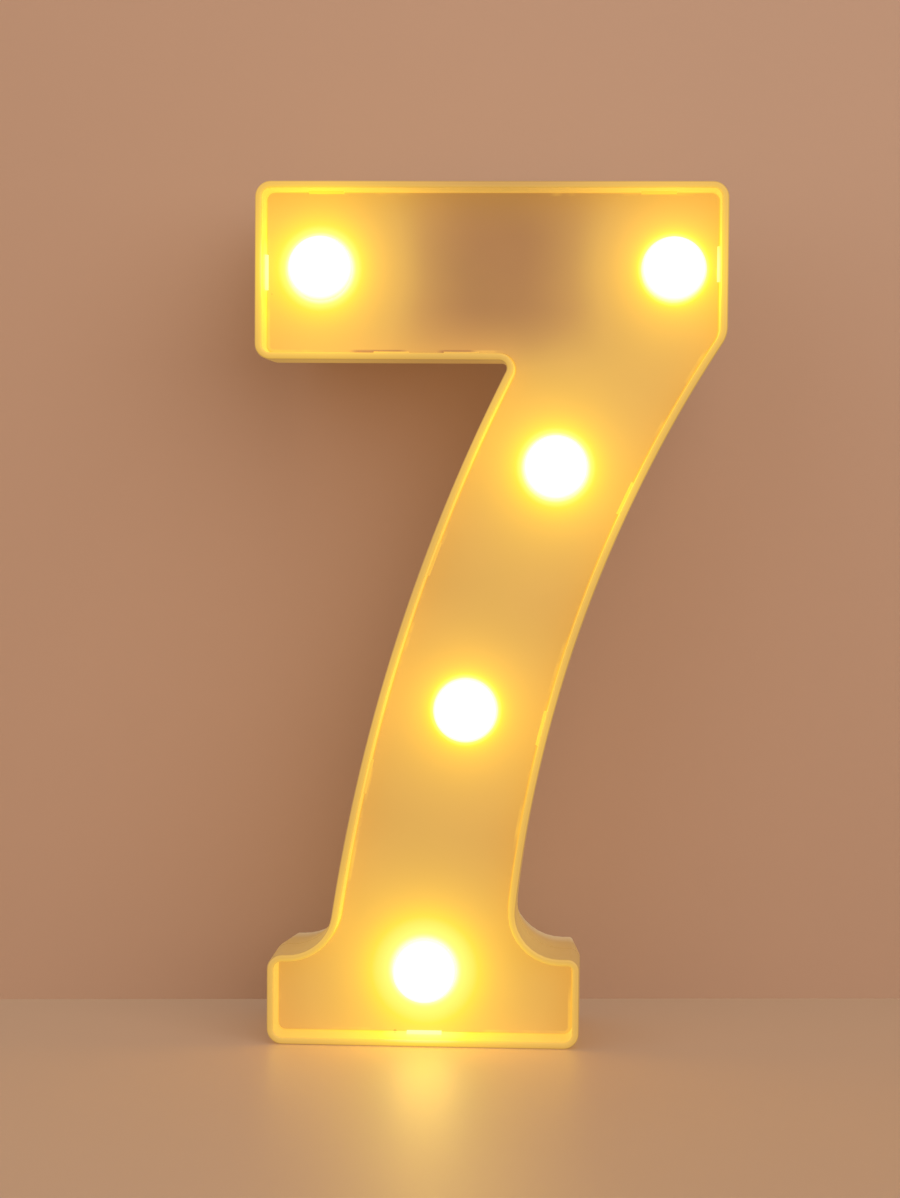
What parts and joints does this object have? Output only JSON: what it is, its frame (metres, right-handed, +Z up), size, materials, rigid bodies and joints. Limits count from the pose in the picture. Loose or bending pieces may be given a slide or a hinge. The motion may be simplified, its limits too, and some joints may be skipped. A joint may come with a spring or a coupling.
{
  "type": "led letter light",
  "caption": "Battery-run marquee light in the shape of the figure 7, with a deep rimmed casing, a recessed face and round frosted bulb caps.",
  "frame": {"origin": "middle of the light's box, on the surface that its foot stands on", "axes": "+Z up, -Y towards the front (the lit face), +X to the right seen from the front"},
  "size_m": [0.1194, 0.045, 0.22],
  "materials": {
    "casing": "milky white translucent plastic, lightly textured, lit from inside",
    "panel": "milky white translucent plastic sheet, lit from inside",
    "dome": "frosted diffusing plastic, lit",
    "plug": "plain white plastic",
    "led": "clear epoxy, lit",
    "cell": "plain sleeved dry cell with bare metal ends",
    "contact": "nickel-plated spring steel",
    "switch_frame": "plated sheet steel",
    "board": "phenolic board with tinned pins",
    "knob": "black moulded plastic",
    "screw": "zinc-plated steel",
    "red_wire": "red wire insulation",
    "black_wire": "black wire insulation"
  },
  "bodies": {
    "root": {"front_frame": "casing", "rear_shell": "casing", "face_panel": "panel", "case_screw_1": "screw", "case_screw_2": "screw", "case_screw_3": "screw", "case_screw_4": "screw", "case_screw_5": "screw", "case_screw_6": "screw", "switch_screw_1": "screw", "switch_screw_2": "screw", "dome_cap_1": "dome", "dome_cap_2": "dome", "dome_cap_3": "dome", "dome_cap_4": "dome", "dome_cap_5": "dome", "led_holder_1": "plug", "led_holder_2": "plug", "led_holder_3": "plug", "led_holder_4": "plug", "led_holder_5": "plug", "led_1": "led", "led_2": "led", "led_3": "led", "led_4": "led", "led_5": "led", "battery_cell_upper": "cell", "battery_cell_lower": "cell", "bridge_plate": "contact", "bridge_spring": "contact", "negative_plate": "contact", "negative_spring": "contact", "positive_plate": "contact", "switch_case": "switch_frame", "switch_base": "board", "black_wire_1": "black_wire", "black_wire_2": "black_wire", "black_wire_3": "black_wire", "black_wire_4": "black_wire", "negative_feed": "black_wire", "red_wire_1": "red_wire", "red_wire_2": "red_wire", "red_wire_3": "red_wire", "red_wire_4": "red_wire", "positive_feed": "red_wire", "switched_feed": "red_wire"},
    "door": {"battery_door": "casing"},
    "knob": {"switch_knob": "knob"}
  },
  "joints": [
    {"name": "door_hinge", "type": "hinge", "parent": "root", "child": "door", "pos_m": [0.001, 0.0225, 0.214], "axis": [1, 0, 0], "range_deg": [0, 75]},
    {"name": "switch_slide", "type": "slide", "parent": "root", "child": "knob", "axis": [1, 0, 0], "range_m": [-0.004, 0]}
  ]
}
